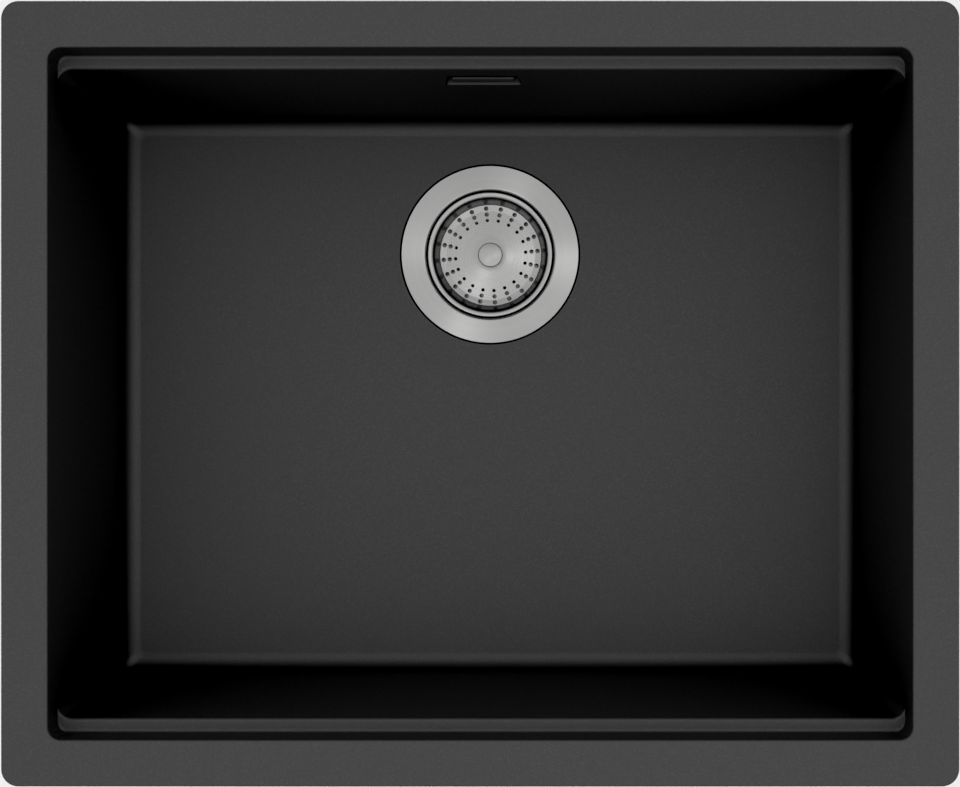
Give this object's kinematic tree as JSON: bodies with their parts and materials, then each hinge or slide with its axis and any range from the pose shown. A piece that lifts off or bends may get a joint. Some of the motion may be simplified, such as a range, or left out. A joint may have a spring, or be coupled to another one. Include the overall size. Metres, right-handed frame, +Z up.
{
  "type": "undermount kitchen sink",
  "caption": "Rectangular undermount kitchen sink in black composite, with a flat rim, accessory ledges, an overflow and a strainer waste whose basket turns and lifts out.",
  "frame": {"origin": "middle of the rim's top face, the plane that meets the underside of the worktop", "axes": "+Z up out of the bowl, +X to the right along the longer side, +Y to the back, where the drain and the overflow are"},
  "size_m": [0.555, 0.455, 0.284],
  "materials": {
    "composite": "matte",
    "composite_trim": "matte",
    "stainless": "satin",
    "brass": "satin",
    "rubber": "matte",
    "black_plastic": "satin",
    "grey_plastic": "satin",
    "white_plastic": "satin"
  },
  "bodies": {
    "sink": {"sink_bowl": "composite", "rim_inserts": "brass", "flange_seal": "rubber", "strainer_cup": "stainless", "body_gasket": "rubber", "waste_body": "black_plastic", "centre_screw": "stainless", "centre_nut": "brass", "screw_washer": "rubber", "overflow_cover": "composite_trim", "overflow_gasket": "rubber", "overflow_head": "black_plastic", "overflow_inserts": "brass", "overflow_screws": "stainless", "overflow_pipe": "grey_plastic", "upper_pipe_nut": "black_plastic", "upper_pipe_seal": "rubber", "lower_pipe_nut": "black_plastic", "lower_pipe_seal": "rubber"},
    "sleeve": {"stem_sleeve": "white_plastic"},
    "basket": {"strainer_basket": "stainless", "basket_knob": "stainless", "basket_stem": "stainless", "stopper_carrier": "black_plastic", "stopper_seal": "rubber"}
  },
  "joints": [
    {"name": "basket_turn", "type": "hinge", "parent": "sink", "child": "sleeve", "pos_m": [0, 0.0905, -0.22], "axis": [0, 0, 1], "continuous": true},
    {"name": "basket_lift", "type": "slide", "parent": "sleeve", "child": "basket", "axis": [0, 0, 1], "range_m": [0, 0.24]}
  ]
}
